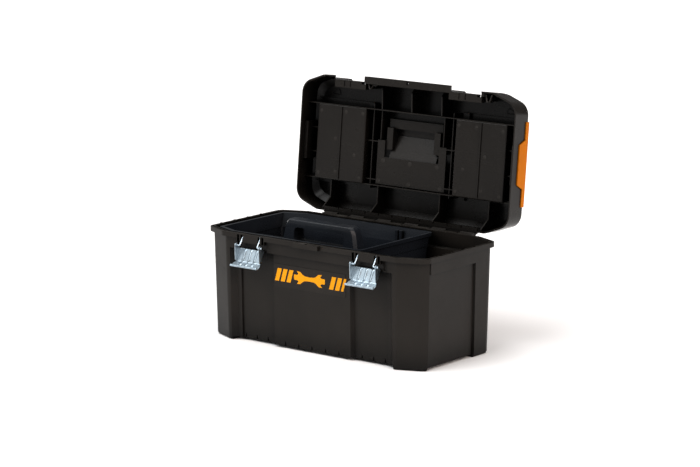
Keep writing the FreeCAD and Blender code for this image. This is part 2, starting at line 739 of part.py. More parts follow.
def lid_shell():
    form = lid_body(0.0, 0.0, 0.0, LID_CORNER_R)
    hollow = lid_body(WALL, -1.0, 2.2, LID_CORNER_R - WALL)
    well_lumps, well_spaces = well_block()
    lumps = lid_ribs() + both(well_lumps + [cover_deck()]) + lid_front_lumps()
    inside = Part.makeCompound([lump.common(form) for lump in lumps])
    strip = box((-171, 171), (114.6, 124.6), (0.4, 3.6))
    shell = join([cut(form, [hollow])] + inside.Solids + handle_housing() + lid_knuckles() + [strip])
    cuts = both(well_spaces + cover_spaces()) + handle_spaces()
    cuts.append(front_flare(0.0, -1.0, LID_H + 9, (-LID_HALF_Y - 9, FRONT_FACE)))
    for mid in (-LATCH_X, LATCH_X):
        cuts += latch_spaces(mid)
    for index in range(1, KNUCKLES):
        x = (index - KNUCKLES / 2) * KNUCKLE_PITCH
        cuts.append(box((x - 1.2, x + 1.2), (114, 118), (0, 2.2)))
    cuts.append(rod_x(HINGE_PIN_R + PIN_CLEARANCE, -200, 200, (HINGE_Y, HINGE_Z - LID_Z)))
    cuts.append(Part.makeCylinder(PADLOCK_R, 20, Vector(0, PADLOCK_Y, -9)))
    return join([cut(shell, cuts), lid_lip()])


def organiser_cover():
    """Right-hand cover: top plate, hinge barrel with end pins, skirt and side flap."""
    mid = sum(COVER_Y) / 2
    outer = cover_section(0.0)
    inner = cover_section(COVER_THICK)
    outline = outer + [(outer[-1][0], SKIRT_BOTTOM), (inner[-1][0], SKIRT_BOTTOM)] + inner[::-1]
    top = elevation(outline, *COVER_Y)
    flap = profile([
        (mid - FLAP_TOP_HALF, SKIRT_BOTTOM + 1), (mid + FLAP_TOP_HALF, SKIRT_BOTTOM + 1),
        (mid + FLAP_END_HALF, FLAP_BOTTOM), (mid - FLAP_END_HALF, FLAP_BOTTOM),
    ], COVER_OUT - 2.0, COVER_OUT + 0.8)
    barrel = rod_y(BARREL_R, COVER_Y[0], COVER_Y[1], COVER_HINGE)
    pins = rod_y(COVER_PIN_R, COVER_Y[0] - 3.2, COVER_Y[1] + 3.2, COVER_HINGE)
    return join([top, flap, barrel, pins])


def carry_handle():
    grip = box((-HANDLE_ARM_X[1], HANDLE_ARM_X[1]), GRIP_Y, GRIP_H)
    grip = grip.makeFillet(3.0, [edge for edge in grip.Edges if edge.Length > 100])
    arm = box(HANDLE_ARM_X, (GRIP_Y[1] - 2, HANDLE_PIVOT[0]), (GRIP_H[0], 44.0))
    end = rod_x(HANDLE_END_R, *HANDLE_ARM_X, HANDLE_PIVOT)
    pin = rod_x(3.0, HANDLE_ARM_X[1] - 1, TROUGH_HALF + 1.5, HANDLE_PIVOT)
    return join([grip] + both([arm, end, pin]))


def handle_retainer():
    """U-shaped plate under the handle pivots, on six posts."""
    high = RETAINER_H + SKIN
    plate = box((-RETAINER_HALF, RETAINER_HALF), RETAINER_Y, (RETAINER_H, high))
    arm = box((RETAINER_ARM, RETAINER_HALF), (RETAINER_ARM_Y, RETAINER_Y[0] + 1), (RETAINER_H, high))
    posts = []
    for x in (-64, 0, 64):
        for y in (30, 58):
            posts.append(Part.makeCylinder(3.0, LID_H - 3 - high, Vector(x, y, high)))
    return join([plate] + posts + both([arm]))


def opened(shape):
    """Carry a shape from the closed lid to its open place."""
    placed = shape.copy()
    placed.translate(Vector(0, 0, LID_Z))
    placed.rotate(Vector(0, HINGE_Y, HINGE_Z), Vector(1, 0, 0), -OPEN_ANGLE)
    return placed


# ---------------------------------------------------------------- tray
def tray_form(grow, low, high, half_low, half_high):
    """Tapered tray body between two levels; the left end follows the tub's corners."""
    def outline(half_y, left, right):
        cut_x, cut_y = TRAY_CORNER
        return [
            (left + cut_x, -half_y), (right - 6, -half_y), (right, -half_y + 6),
            (right, half_y - 6), (right - 6, half_y), (left + cut_x, half_y),
            (left, half_y - cut_y), (left, -half_y + cut_y),
        ]
    taper = (TRAY_RIM - low) * 0.05
    return loft([
        (outline(half_low - grow, TRAY_X[0] + 4 + grow + taper, TRAY_X[1] - 4 - grow - taper), low),
        (outline(half_high - grow, TRAY_X[0] + 4 + grow, TRAY_X[1] - 4 - grow), high),
    ])


def tray_handle():
    """Central divider that rises into a rounded grip with a hand slot."""
    mid = GRIP_MID_X
    divider = box((TRAY_X[0] + 6, TRAY_X[1] - 6), (-1.2, 1.2), (TRAY_BOTTOM, 172))
    frame = loft([
        (octagon(half_x, half_y, 5.0, 5.0, (mid, 0)), z)
        for half_x, half_y, z in GRIP_SECTIONS
    ])
    frame = frame.makeFillet(3.0, [
        edge for edge in frame.Edges if min(v.Z for v in edge.Vertexes) > GRIP_TOP - 1
    ])
    slot = box((mid - SLOT_HALF, mid + SLOT_HALF), (-20, 20), SLOT_Z)
    slot = slot.makeFillet(8.0, [
        edge for edge in slot.Edges if abs(edge.Vertexes[0].Y - edge.Vertexes[-1].Y) > 1
    ])
    hollow = box((mid - 76, mid + 76), (-11, 11), (TRAY_BOTTOM - 1, 164))
    return divider, frame.cut(slot), hollow


def tote_tray():
    bottom = TRAY_BOTTOM
    lower = tray_form(0.0, bottom, TRAY_SEAT, 92.0, 94.2)
    upper = tray_form(0.0, TRAY_SEAT, TRAY_RIM, 98.0, 101.0)
    rim = rounded(tray_form(-3.0, TRAY_RIM - TRAY_RIM_DROP, TRAY_RIM, 101.0, 101.0), 4.0)
    skirt = tray_form(-1.4, TRAY_RIM - TRAY_RIM_DROP - 1, TRAY_RIM - 2.0, 101.0, 101.0)
    flange = rim.cut(skirt)
    hollow = join([
        rounded(tray_form(TRAY_WALL, bottom + TRAY_WALL, TRAY_SEAT, 92.0, 94.6), 5.0),
        tray_form(TRAY_WALL, TRAY_SEAT, TRAY_RIM + 1, 94.6, 101.0),
    ])
    divider, frame, void = tray_handle()
    body = cut(join([lower, upper, flange]), [hollow])
    body = join([body, divider.common(lower), frame])
    slot = [divider_rib(x) for x in DIVIDER_SLOT]
    return cut(join([body] + slot), [void])


def divider_rib(x):
    """Half-round rib inside the back wall; two of them hold a loose divider."""
    rib = Part.makeCylinder(3.3, TRAY_RIM - TRAY_BOTTOM - 4, Vector(x, 91.4, TRAY_BOTTOM + 1))
    return rib.common(tray_form(0.5, TRAY_BOTTOM, TRAY_RIM, 92.0, 96.0))


def main():
    export("base_tub", base_tub())
    export("hinge_pin", hinge_pin())
    export("front_label", front_label())
    for name, mid in (("left", -LATCH_X), ("right", LATCH_X)):
        export(name + "_latch_bail", latch_bail(mid))
        export(name + "_latch_lever", latch_lever(mid))
    export("lid_shell", opened(lid_shell()))
    cover = organiser_cover()
    export("right_organiser_cover", opened(cover))
    export("left_organiser_cover", opened(mirrored(cover)))
    export("carry_handle", opened(carry_handle()))
    export("handle_retainer", opened(handle_retainer()))
    export("tote_tray", tote_tray())


main()
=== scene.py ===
"""Studio picture of the toolbox: materials, small moulded details, pressed latches, floor and light.

Distances are written in millimetres in the box's own layout (middle of the tub, floor, lid drawn
closed) and turned into the row frame by `tub` and `lid`.
"""
import json
import math

import bmesh
import bpy
from mathutils import Euler, Matrix, Vector


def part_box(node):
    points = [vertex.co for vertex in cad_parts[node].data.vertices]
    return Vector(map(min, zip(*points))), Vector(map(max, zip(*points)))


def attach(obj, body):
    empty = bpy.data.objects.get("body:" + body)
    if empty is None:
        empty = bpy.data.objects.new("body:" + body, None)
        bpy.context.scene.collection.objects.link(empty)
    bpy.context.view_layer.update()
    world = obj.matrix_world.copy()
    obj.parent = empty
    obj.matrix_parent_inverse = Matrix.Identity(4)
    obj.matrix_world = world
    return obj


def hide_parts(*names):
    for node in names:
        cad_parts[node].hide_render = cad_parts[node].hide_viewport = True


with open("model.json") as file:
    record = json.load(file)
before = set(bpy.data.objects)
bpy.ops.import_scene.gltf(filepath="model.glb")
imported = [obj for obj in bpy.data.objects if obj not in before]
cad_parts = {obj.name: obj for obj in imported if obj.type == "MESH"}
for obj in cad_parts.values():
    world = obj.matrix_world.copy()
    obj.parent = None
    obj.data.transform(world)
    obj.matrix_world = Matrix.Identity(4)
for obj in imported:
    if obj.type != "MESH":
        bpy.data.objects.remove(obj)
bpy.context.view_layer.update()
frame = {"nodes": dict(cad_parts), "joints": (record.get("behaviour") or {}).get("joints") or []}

MM = 0.001
nodes = frame["nodes"]
joints = {joint["name"]: joint for joint in frame["joints"]}

# ---------------------------------------------------------------- places
TUB_LUG_FRONT = 125.0
LID_OPEN = math.radians(95.66)
LID_RISE = 6.2
tub_low, tub_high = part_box("base_tub")
middle_y = tub_low.y / MM + TUB_LUG_FRONT
hinge = Vector(joints["lid_hinge"]["pos_m"]) / MM


def tub(x, y, z):
    """A point of the tub, in metres in the row frame."""
    return Vector((x, y + middle_y, z)) * MM


def lid(x, y, h):
    """A point of the lid as drawn closed, h above its lower edge, at its open place."""
    arm = Vector((x, y + middle_y - hinge.y, h + LID_RISE))
    arm.rotate(Euler((-LID_OPEN, 0, 0)))
    return Vector((arm.x, arm.y + hinge.y, arm.z + hinge.z)) * MM


# ---------------------------------------------------------------- camera, light and floor
CAMERA_PLACE = (2.93307, -3.73655, 1.12602)
CAMERA_DIP = 11.161
CAMERA_TURN = 38.404
CAMERA_LENS = 142.69
SKY_BEHIND = 0.16
SKY_FRONT = 0.44
FLOOR_HALF = 14.0
FLOOR_PALE = 0.93


def add_camera():
    """A long lens, some way in front of the box's right-hand corner and a little above it."""
    data = bpy.data.cameras.new("camera")
    data.lens = CAMERA_LENS
    data.sensor_width = 36.0
    data.clip_start = 0.05
    data.clip_end = 60.0
    camera = bpy.data.objects.new("camera", data)
    camera.location = CAMERA_PLACE
    camera.rotation_euler = (math.radians(90 - CAMERA_DIP), 0, math.radians(CAMERA_TURN))
    bpy.context.scene.collection.objects.link(camera)
    bpy.context.scene.camera = camera


def soft_sun(name, towards, spread, power, colour=(1, 1, 1)):
    """A far, broad light shining along a direction, spread given in degrees."""
    data = bpy.data.lights.new(name, "SUN")
    data.angle = math.radians(spread)
    data.energy = power
    data.color = colour
    lamp = bpy.data.objects.new(name, data)
    lamp.rotation_euler = Vector(towards).to_track_quat("-Z", "Y").to_euler()
    bpy.context.scene.collection.objects.link(lamp)


def add_studio():
    """Broad soft light from above and both sides, and a sky that is dimmer behind the box."""
    scene = bpy.context.scene
    world = bpy.data.worlds.new("studio")
    world.use_nodes = True
    tree = world.node_tree
    background = tree.nodes["Background"]
    place = tree.nodes.new("ShaderNodeTexCoord")
    parts = tree.nodes.new("ShaderNodeSeparateXYZ")
    fade = tree.nodes.new("ShaderNodeMapRange")
    fade.inputs["From Min"].default_value = 0.75
    fade.inputs["From Max"].default_value = -0.9
    fade.inputs["To Min"].default_value = SKY_BEHIND
    fade.inputs["To Max"].default_value = SKY_FRONT
    tree.links.new(place.outputs["Generated"], parts.inputs[0])
    tree.links.new(parts.outputs["Y"], fade.inputs["Value"])
    tree.links.new(fade.outputs["Result"], background.inputs["Strength"])
    background.inputs["Color"].default_value = (1.0, 1.0, 1.0, 1.0)
    scene.world = world
    soft_sun("key", (0.45, 0.75, -1.25), 50, 2.3)
    soft_sun("top", (0.05, -0.15, -1.0), 60, 1.5)
    soft_sun("right", (-0.95, 0.35, -0.55), 34, 1.6, (1.0, 0.84, 0.76))
    scene.view_settings.view_transform = "Standard"
    scene.view_settings.look = "None"


def add_floor():
    mesh = bpy.data.meshes.new("floor")
    half = FLOOR_HALF
    corners = [(-half, -half, 0), (half, -half, 0), (half, half, 0), (-half, half, 0)]
    mesh.from_pydata(corners, [], [(0, 1, 2, 3)])
    floor = bpy.data.objects.new("floor", mesh)
    bpy.context.scene.collection.objects.link(floor)
    material = bpy.data.materials.new("floor_paper")
    material.use_nodes = True
    shader = material.node_tree.nodes["Principled BSDF"]
    shader.inputs["Base Color"].default_value = (FLOOR_PALE, FLOOR_PALE, FLOOR_PALE, 1)
    shader.inputs["Roughness"].default_value = 0.9
    shader.inputs["Specular IOR Level"].default_value = 0.15
    mesh.materials.append(material)


# ---------------------------------------------------------------- materials
class Nodes:
    """A short way to wire a material's nodes."""

    def __init__(self, name):
        self.material = bpy.data.materials.new(name)
        self.material.use_nodes = True
        self.tree = self.material.node_tree
        self.shader = self.tree.nodes["Principled BSDF"]
        self.place = self.tree.nodes.new("ShaderNodeTexCoord").outputs["Object"]

    def add(self, kind, inputs=None, **settings):
        node = self.tree.nodes.new(kind)
        for key, value in settings.items():
            setattr(node, key, value)
        for key, value in (inputs or {}).items():
            self.feed(node.inputs[key], value)
        return node

    def feed(self, socket, value):
        if isinstance(value, bpy.types.NodeSocket):
            self.tree.links.new(value, socket)
        else:
            socket.default_value = value

    def noise(self, scale, detail=3.0, stretch=(1, 1, 1), rough=0.55):
        """Noise from 0 to 1, scale in blobs per metre."""
        mapping = self.add("ShaderNodeMapping", {"Vector": self.place, "Scale": stretch})
        inputs = {"Vector": mapping.outputs[0], "Scale": scale, "Detail": detail, "Roughness": rough}
        return self.add("ShaderNodeTexNoise", inputs).outputs["Fac"]

    def span(self, value, low, high, start=0.0, end=1.0):
        """Map low..high of a value to start..end."""
        keys = {"Value": value, "From Min": low, "From Max": high, "To Min": start, "To Max": end}
        return self.add("ShaderNodeMapRange", keys).outputs["Result"]

    def maths(self, operation, one, two=0.0):
        return self.add("ShaderNodeMath", {0: one, 1: two}, operation=operation).outputs[0]

    def mix(self, share, one, two):
        """A colour between two others, by a share from 0 to 1."""
        node = self.add("ShaderNodeMix", None, data_type="RGBA")
        sockets = {socket.identifier: socket for socket in node.inputs}
        self.feed(sockets["Factor_Float"], share)
        self.feed(sockets["A_Color"], one)
        self.feed(sockets["B_Color"], two)
        return node.outputs[2]

    def edges(self, radius, low=0.02, high=0.35):
        """About 1 along sharp edges and 0 on open faces."""
        bevel = self.add("ShaderNodeBevel", {"Radius": radius}, samples=4).outputs["Normal"]
        flat = self.add("ShaderNodeNewGeometry").outputs["Normal"]
        turn = self.add("ShaderNodeVectorMath", {0: bevel, 1: flat}, operation="DOT_PRODUCT").outputs["Value"]
        return self.span(turn, 1.0 - low, 1.0 - high)

    def painted_shade_mask(self, reach, low, high):
        """1 in the open, falling to 0 deep in a recess: an occlusion mask for painted shade."""
        sky = self.add("ShaderNodeAmbientOcclusion", {"Distance": reach}, samples=6).outputs["AO"]
        return self.span(sky, low, high)

    def bump(self, layers):
        """Stack (height, distance in metres, strength) layers into one normal."""
        normal = None
        for height, distance, strength in layers:
            keys = {"Height": height, "Distance": distance, "Strength": strength}
            if normal is not None:
                keys["Normal"] = normal
            normal = self.add("ShaderNodeBump", keys).outputs[0]
        self.feed(self.shader.inputs["Normal"], normal)


def shade(colour, factor):
    return (colour[0] * factor, colour[1] * factor, colour[2] * factor, 1.0)


DUST = (0.12, 0.115, 0.105, 1)
ZINC_BLUE = (0.50, 0.66, 0.78, 1)


def moulded(
    name, colour, rough, grain=1.0, dust=0.25, wear_and_highlight=0.3, worn_and_highlit=None, specular=0.11, deep=0.05,
):
    """Injection-moulded plastic: fine grain, flow marks, edges lightened by abrasion and a painted highlight,
    settled dust, and painted shade darkening the recesses.
    """
    n = Nodes(name)
    cloud = n.noise(7.0, 4.0)
    flow = n.noise(16.0, 5.0, (1.0, 1.0, 0.22))
    speck = n.noise(2600.0, 1.0)
    base = n.mix(n.span(cloud, 0.3, 0.7), shade(colour, 0.82), shade(colour, 1.18))
    base = n.mix(n.span(flow, 0.45, 0.75, 0.0, 0.35), base, shade(colour, 1.4))
    base = n.mix(n.span(speck, 0.62, 0.8, 0.0, 0.3), base, shade(colour, 1.7))
    # Lighter along sharp edges: partly abrasion, partly a painted highlight.
    wear_and_highlight_mask = n.maths("MULTIPLY", n.edges(0.0011), n.span(n.noise(55.0, 4.0), 0.35, 0.7, 0.2, 1.0))
    wear_and_highlight_colour = worn_and_highlit or shade(colour, 2.6)
    base = n.mix(n.maths("MULTIPLY", wear_and_highlight_mask, wear_and_highlight), base, wear_and_highlight_colour)
    upward = n.add("ShaderNodeSeparateXYZ", {0: n.add("ShaderNodeNewGeometry").outputs["Normal"]}).outputs[2]
    film = n.maths("MULTIPLY", n.span(upward, 0.55, 0.98), n.span(n.noise(38.0, 6.0), 0.42, 0.78))
    base = n.mix(n.maths("MULTIPLY", film, dust), base, DUST)
    # Painted shade: colour darkened in recesses and between parts by ambient occlusion.
    base = n.mix(n.painted_shade_mask(0.07, 0.42, 0.86), shade(colour, deep), base)
    n.feed(n.shader.inputs["Base Color"], base)
    scratch = n.noise(120.0, 6.0, (0.12, 1.0, 1.0), 0.7)
    polish = n.span(n.noise(9.0, 4.0), 0.3, 0.7, rough - 0.05, rough + 0.07)
    polish = n.maths("ADD", polish, n.span(scratch, 0.55, 0.75, 0.0, 0.10))
    polish = n.maths("ADD", polish, n.maths("MULTIPLY", film, 0.22))
    n.feed(n.shader.inputs["Roughness"], n.maths("SUBTRACT", polish, n.maths("MULTIPLY", wear_and_highlight_mask, 0.10)))
    n.bump([
        (n.noise(18.0, 2.0), 0.0009, 0.35),
        (n.noise(900.0, 2.0), 0.00012, 0.16 * grain),
        (n.span(scratch, 0.6, 0.72), 0.00008, 0.12),
    ])
    n.shader.inputs["Specular IOR Level"].default_value = specular
    return n.material


def zinc(name, colour, rough, along=(1.0, 0.06, 0.06)):
    """Bright zinc plate: blue-white metal with drawn lines and a cloudy passivated film."""
    n = Nodes(name)
    cloud = n.noise(85.0, 4.0)
    drawn = n.noise(900.0, 3.0, along)
    base = n.mix(n.span(cloud, 0.35, 0.7), shade(colour, 0.86), shade(colour, 1.08))
    base = n.mix(n.span(n.noise(40.0, 3.0), 0.5, 0.75, 0.0, 0.5), base, ZINC_BLUE)
    base = n.mix(n.span(drawn, 0.5, 0.8, 0.0, 0.25), base, shade(colour, 0.6))
    n.feed(n.shader.inputs["Base Color"], base)
    n.shader.inputs["Metallic"].default_value = 1.0
    n.feed(n.shader.inputs["Roughness"], n.span(n.noise(160.0, 5.0), 0.3, 0.7, rough - 0.06, rough + 0.10))
    n.bump([(drawn, 0.00006, 0.25), (n.noise(300.0, 2.0), 0.0001, 0.2)])
    return n.material


def printed(name, colour):
    """Matt ink on film, slightly mottled, with pinholes."""
    n = Nodes(name)
    base = n.mix(n.span(n.noise(420.0, 3.0), 0.35, 0.7), shade(colour, 0.92), shade(colour, 1.06))
    base = n.mix(n.span(n.noise(2400.0, 1.0), 0.72, 0.8, 0.0, 0.5), base, shade(colour, 0.45))
    n.feed(n.shader.inputs["Base Color"], base)
    n.feed(n.shader.inputs["Roughness"], n.span(n.noise(60.0, 4.0), 0.3, 0.7, 0.40, 0.55))
    n.bump([(n.noise(1500.0, 2.0), 0.00005, 0.2)])
    n.shader.inputs["Specular IOR Level"].default_value = 0.12
    return n.material


BLACK = (0.0122, 0.0104, 0.0088)
SLATE = (0.0092, 0.0114, 0.0152)
AMBER = (0.47, 0.128, 0.0010)
ZINC = (0.36, 0.435, 0.49)
INK = (0.78, 0.31, 0.0008)
# Lighter amber on the cover's edges: abrasion and a painted highlight.
WORN_AND_HIGHLIT_AMBER = (0.80, 0.36, 0.01, 1)

# deep sets how dark the painted shade in each finish's recesses goes.
material = {
    "tub_plastic": moulded("tub_plastic", BLACK, 0.38),
    "lid_plastic": moulded("lid_plastic", shade(BLACK, 0.8), 0.27, 0.6, 0.08, specular=0.15, deep=0.04),
    "handle_plastic": moulded("handle_plastic", shade(BLACK, 1.1), 0.42, 1.3),
    "tray_plastic": moulded("tray_plastic", SLATE, 0.27, 0.6, 0.08, 0.35, specular=0.24, deep=0.06),
    "cover_plastic": moulded(
        "cover_plastic", AMBER, 0.36, 0.6, 0.02, 0.25, WORN_AND_HIGHLIT_AMBER, specular=0.05, deep=0.5,
    ),
    "latch_sheet": zinc("latch_sheet", ZINC, 0.34),
    "latch_wire": zinc("latch_wire", shade(ZINC, 1.3), 0.26),
    "hinge_steel": zinc("hinge_steel", shade(ZINC, 1.2), 0.30),
    "label_film": moulded("label_film", shade(BLACK, 1.25), 0.40, 0.5, 0.0, 0.1),
    "ink": printed("label_ink", INK),
    "marks": moulded("eject_marks", shade(BLACK, 1.25), 0.30, 0.6, 0.0, 0.2, None, 0.20),
}


# ---------------------------------------------------------------- making meshes
def piece(name, points, faces, body, slot, smooth=30.0, bevel=0.0):
    """A mesh from row-frame points, shaded, riding on a body and taking a slot's finish."""
    mesh = bpy.data.meshes.new(name)
    mesh.from_pydata([tuple(p) for p in points], [], faces)
    made = bpy.data.objects.new(name, mesh)
    bpy.context.scene.collection.objects.link(made)
    work = bmesh.new()
    work.from_mesh(mesh)
    bmesh.ops.remove_doubles(work, verts=work.verts, dist=1e-6)
    bmesh.ops.recalc_face_normals(work, faces=work.faces)
    work.to_mesh(mesh)
    work.free()
    mesh.materials.append(material[slot])
    if bevel:
        round_edges(made, bevel, smooth)
    else:
        for polygon in mesh.polygons:
            polygon.use_smooth = True
        mesh.set_sharp_from_angle(angle=math.radians(smooth))
    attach(made, body)
    return made


def round_edges(made, width, angle=30.0, segments=2):
    """Small rounded edges that leave the flat faces flat."""
    for polygon in made.data.polygons:
        polygon.use_smooth = True
    bevel = made.modifiers.new("rounded", "BEVEL")
    bevel.width = width * MM
    bevel.segments = segments
    bevel.limit_method = "ANGLE"
    bevel.angle_limit = math.radians(angle)
    bevel.use_clamp_overlap = True
    bevel.miter_outer = "MITER_ARC"
    flat = made.modifiers.new("flat_faces", "WEIGHTED_NORMAL")
    flat.mode = "FACE_AREA"
    flat.weight = 100
    flat.thresh = 0.001


def dress_node(name, slot, width, flat=0.6):
    """Give a CAD node its finish and softly rounded edges, after merging its flat faces."""
    made = nodes[name]
    made.data.materials.clear()
    made.data.materials.append(material[slot])
    weld = made.modifiers.new("weld", "WELD")
    weld.merge_threshold = 2e-6
    if flat:
        flatten = made.modifiers.new("flatten", "DECIMATE")
        flatten.decimate_type = "DISSOLVE"
        flatten.angle_limit = math.radians(flat)
    round_edges(made, width)


def prism(outline, thickness, place):
    """Points and faces of an outline in two directions, extruded along a third."""
    count = len(outline)
    points = [place(u, v, 0.0) for u, v in outline] + [place(u, v, thickness) for u, v in outline]
    faces = [tuple(range(count))[::-1], tuple(range(count, 2 * count))]
    for i in range(count):
        j = (i + 1) % count
        faces.append((i, j, count + j, count + i))
    return points, faces


def lathe(profile, place, steps=28):
    """Points and faces of a (radius, height) profile turned about its axis."""
    points = []
    for radius, height in profile:
        for step in range(steps):
            turn = math.tau * step / steps
            points.append(place(radius * math.cos(turn), radius * math.sin(turn), height))
    faces = [tuple(range(steps))[::-1]]
    for ring in range(len(profile) - 1):
        for step in range(steps):
            after = (step + 1) % steps
            low, high = ring * steps, (ring + 1) * steps
            faces.append((low + step, low + after, high + after, high + step))
    last = (len(profile) - 1) * steps
    faces.append(tuple(range(last, last + steps)))
    return points, faces


def gather(parts):
    """Join several (points, faces) lists into one."""
    points, faces = [], []
    for some_points, some_faces in parts:
        start = len(points)
        points += some_points
        faces += [tuple(start + i for i in face) for face in some_faces]
    return points, faces


def tube(path, radius, steps=14):
    """Points and faces of a round wire through row-frame points."""
    points = []
    side = None
    for i, here in enumerate(path):
        ahead = path[min(i + 1, len(path) - 1)] - path[max(i - 1, 0)]
        ahead.normalize()
        if side is None:
            side = ahead.orthogonal().normalized()
        side = (side - ahead * side.dot(ahead)).normalized()
        up = ahead.cross(side)
        for step in range(steps):
            turn = math.tau * step / steps
            points.append(here + (side * math.cos(turn) + up * math.sin(turn)) * radius * MM)
    faces = [tuple(range(steps))[::-1], tuple(range(len(points) - steps, len(points)))]
    for ring in range(len(path) - 1):
        for step in range(steps):
            after = (step + 1) % steps
            low, high = ring * steps, (ring + 1) * steps
            faces.append((low + step, low + after, high + after, high + step))
    return points, faces


def bend(path, radius, steps=5):
    """Round the inner corners of a line of points with arcs of about this radius."""
    rounded = [path[0]]
    for before, corner, after in zip(path, path[1:], path[2:]):
        back = (before - corner).normalized()
        ahead = (after - corner).normalized()
        half = back.angle(ahead) / 2
        sides = [(end - corner).length / MM / 2 for end in (before, after)]
        reach = min(radius / math.tan(half), *sides)
        start = corner + back * reach * MM
        end = corner + ahead * reach * MM
        for step in range(steps + 1):
            t = step / steps
            rounded.append(start * (1 - t) ** 2 + corner * 2 * t * (1 - t) + end * t ** 2)
    rounded.append(path[-1])
    return rounded


# ---------------------------------------------------------------- latches
LATCH_X = 127.0
LEVER_TOP = (-113.0, 168.0)
LEVER_FOLD = (-124.0, 146.0)
HOOK_EDGE = (-134.6, 139.6)
ROLL = (-137.0, 141.0)
ROLL_RADIUS = 2.0
PLATE_STEPS = 14
HOOK_STEPS = 6
ROLL_STEPS = 11
BEADS = (-13.0, 0.0, 13.0)
BEAD_REACH = 2.4
PLATE_HALF = 27.0
HOOK_HALF = 30.0
SHEET_COLUMNS = 88
PIVOT = (-124.0, 174.5)
SEAT = (-113.5, 190.0)
BAIL_HALF = 19.5
BAIL_END = 30.4


def lever_path():
    """Side line of the pressed plate, its fold, the hook and the rolled edge, as (y, z, kind)."""
    def along(start, end, share):
        return tuple(one + (two - one) * share for one, two in zip(start, end))

    rows = []
    for i in range(PLATE_STEPS + 1):
        rows.append((*along(LEVER_TOP, LEVER_FOLD, i / PLATE_STEPS), "plate"))
    for i in range(1, HOOK_STEPS + 1):
        rows.append((*along(LEVER_FOLD, HOOK_EDGE, i / HOOK_STEPS), "hook"))
    for i in range(1, ROLL_STEPS + 1):
        turn = math.radians(-60 - 27 * i)
        y = ROLL[0] + ROLL_RADIUS * math.cos(turn)
        rows.append((y, ROLL[1] + ROLL_RADIUS * math.sin(turn), "roll"))
    return rows


def rib_height(x, along, kind):
    """Three beads pressed into the plate, that start again as short bars on the hook."""
    nearest = min(abs(x - centre) for centre in BEADS)
    across = max(0.0, 1.0 - (nearest / BEAD_REACH) ** 2)
    if kind == "plate":
        return 1.25 * across * min(1.0, along * 6, max(0.0, 0.98 - along) * 14)
    if kind == "hook":
        return 1.0 * across * max(0.0, 1.0 - abs(along - 0.5) * 2.6)
    return 0.0


def lever_sheet(mid):
    """The pressed plate and hook as a thin shell of even thickness."""
    rows = lever_path()
    columns = [-1.0 + 2 * i / SHEET_COLUMNS for i in range(SHEET_COLUMNS + 1)]
    points = []
    for index, (y, z, kind) in enumerate(rows):
        before = rows[max(index - 1, 0)]
        after = rows[min(index + 1, len(rows) - 1)]
        run = Vector((0, after[0] - before[0], after[1] - before[1])).normalized()
        front = Vector((0, run.z, -run.y))
        past_fold = index - PLATE_STEPS
        half = PLATE_HALF if kind == "plate" else min(HOOK_HALF, PLATE_HALF + 1.2 * past_fold)
        along = index / PLATE_STEPS if kind == "plate" else past_fold / HOOK_STEPS
        for share in columns:
            x = share * half
            lift = rib_height(x, along, kind)
            points.append(tub(mid + x, y, z) + front * lift * MM)
    width = len(columns)
    faces = []
    for row in range(len(rows) - 1):
        for column in range(width - 1):
            start = row * width + column
            faces.append((start, start + 1, start + width + 1, start + width))
    return points, faces


def cheek(mid, side):
    """A side wing of the lever, with a rounded eye at the wire end and a folded root."""
    outline = [
        (-113.6, 167.6), (-124.2, 146.2), (-127.4, 148.8), (-128.3, 172.6), (-127.6, 175.6),
        (-126.0, 177.6), (-124.0, 178.3), (-121.6, 177.6), (-119.4, 175.2),
    ]
    start = mid + side * 27.3

    def place(y, z, depth):
        return tub(start - side * depth, y, z)
    return prism(outline, 1.2, place)


def rim_bead(mid, side):
    """Folded bright edge along the front of a side wing."""
    line = ((-127.2, 149.2), (-127.9, 161.0), (-128.0, 172.0), (-126.6, 176.4))
    path = [tub(mid + side * 26.9, y, z) for y, z in line]
    return tube(bend(path, 4.0), 0.75, 10)


def add_lever(name, body, mid):
    """A latch's lever, finer than its CAD solid: ribbed plate, side wings and folded edges."""
    points, faces = lever_sheet(mid)
    made = piece(name + "_plate", points, faces, body, "latch_sheet", 60.0)
    shell = made.modifiers.new("sheet", "SOLIDIFY")
    shell.thickness = 0.9 * MM
    shell.offset = -1.0
    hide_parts(name)
    wings = gather([cheek(mid, -1), cheek(mid, 1)])
    piece(name + "_wings", *wings, body, "latch_sheet", bevel=0.35)
    beads = gather([rim_bead(mid, -1), rim_bead(mid, 1)])
    piece(name + "_edges", *beads, body, "latch_sheet", 60.0)


def bail_head(mid, side):
    """Flattened head that keeps a wire end in its eye."""
    def place(u, v, depth):
        return tub(mid + side * (28.0 + depth), PIVOT[0] + u, PIVOT[1] + v)
    return lathe([(1.4, 0.0), (2.1, 0.5), (2.3, 1.2), (2.0, 2.0), (1.1, 2.5)], place, 20)


def add_bail(name, body, mid):
    """The wire: up from one eye of the lever, across in the latch seat and down to the other eye."""
    path = [
        tub(mid - BAIL_END, *PIVOT), tub(mid - BAIL_HALF, *PIVOT), tub(mid - BAIL_HALF, *SEAT),
        tub(mid + BAIL_HALF, *SEAT), tub(mid + BAIL_HALF, *PIVOT), tub(mid + BAIL_END, *PIVOT),
    ]
    parts = [tube(bend(path, 2.4), 1.45), bail_head(mid, -1), bail_head(mid, 1)]
    made = piece(name + "_wire", *gather(parts), body, "latch_wire", 60.0)
    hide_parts(name)


# ---------------------------------------------------------------- label graphic
PRINT_LOW, PRINT_HIGH = 119.0, 141.5
PRINT_THICK = 0.06
PRINT_LEAN = 7.0
BARS = ((-79.0, 9.0), (-66.0, 9.0), (-53.0, 9.0), (41.0, 9.0), (54.0, 9.0), (67.0, 5.0))
SPANNER_X = -4.0


